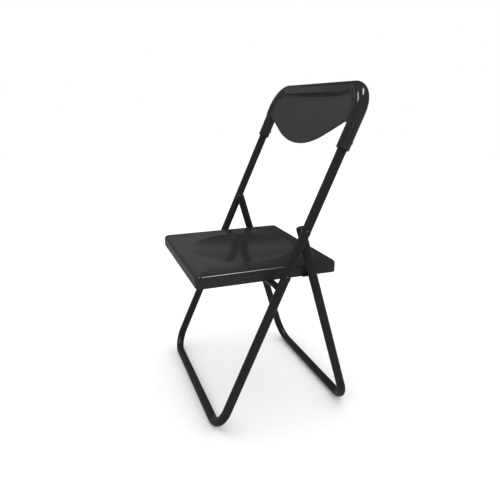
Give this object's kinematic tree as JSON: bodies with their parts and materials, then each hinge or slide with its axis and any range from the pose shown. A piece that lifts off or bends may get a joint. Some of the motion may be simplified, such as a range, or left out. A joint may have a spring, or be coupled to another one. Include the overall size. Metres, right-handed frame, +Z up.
{
  "type": "folding chair",
  "caption": "Folding chair: looped tube front frame with a slip-on plastic backrest, U-shaped rear legs and a dished plastic seat that swings up flat between the tubes.",
  "frame": {"origin": "on the floor, in the middle of the open chair's footprint", "axes": "+Z up, the sitter faces -Y, +X is the sitter's left"},
  "size_m": [0.461, 0.379, 0.752],
  "materials": {
    "tube_paint": "semi-gloss black powder coat",
    "rivet_paint": "glossy black",
    "seat_plastic": "semi-gloss charcoal, finely grained",
    "cap_plastic": "satin black",
    "nylon": "natural nylon",
    "zinc": "zinc plated"
  },
  "bodies": {
    "front": {"front_frame": "tube_paint", "backrest_shell": "seat_plastic", "backrest_screws": "zinc", "frame_pivot_rivet_left": "rivet_paint", "frame_pivot_rivet_right": "rivet_paint", "frame_pivot_washer_left": "nylon", "frame_pivot_washer_right": "nylon", "seat_pivot_rivet_left": "rivet_paint", "seat_pivot_rivet_right": "rivet_paint", "seat_pivot_washer_left": "zinc", "seat_pivot_washer_right": "zinc"},
    "rear": {"rear_frame": "tube_paint", "rear_end_cap_left": "cap_plastic", "rear_end_cap_right": "cap_plastic", "catch_stud_left": "tube_paint", "catch_stud_right": "tube_paint"},
    "seat": {"seat_shell": "seat_plastic", "seat_hinge_bar": "tube_paint", "hinge_ear_left": "tube_paint", "hinge_ear_right": "tube_paint", "bar_clamp_left": "zinc", "bar_clamp_right": "zinc", "clamp_screws": "zinc", "seat_catch_left": "cap_plastic", "seat_catch_right": "cap_plastic", "catch_screws": "zinc"}
  },
  "joints": [
    {"name": "seat_fold", "type": "hinge", "parent": "front", "child": "seat", "pos_m": [0, -0.00691, 0.35184], "axis": [-1, 0, 0], "range_deg": [0, 114.6]},
    {"name": "rear_fold", "type": "hinge", "parent": "front", "child": "rear", "pos_m": [0, 0.03294, 0.44803], "axis": [-1, 0, 0], "range_deg": [0, 32]}
  ],
  "couplings": [
    {"joint": "rear_fold", "follows": "seat_fold", "ratio": 0.2792}
  ]
}
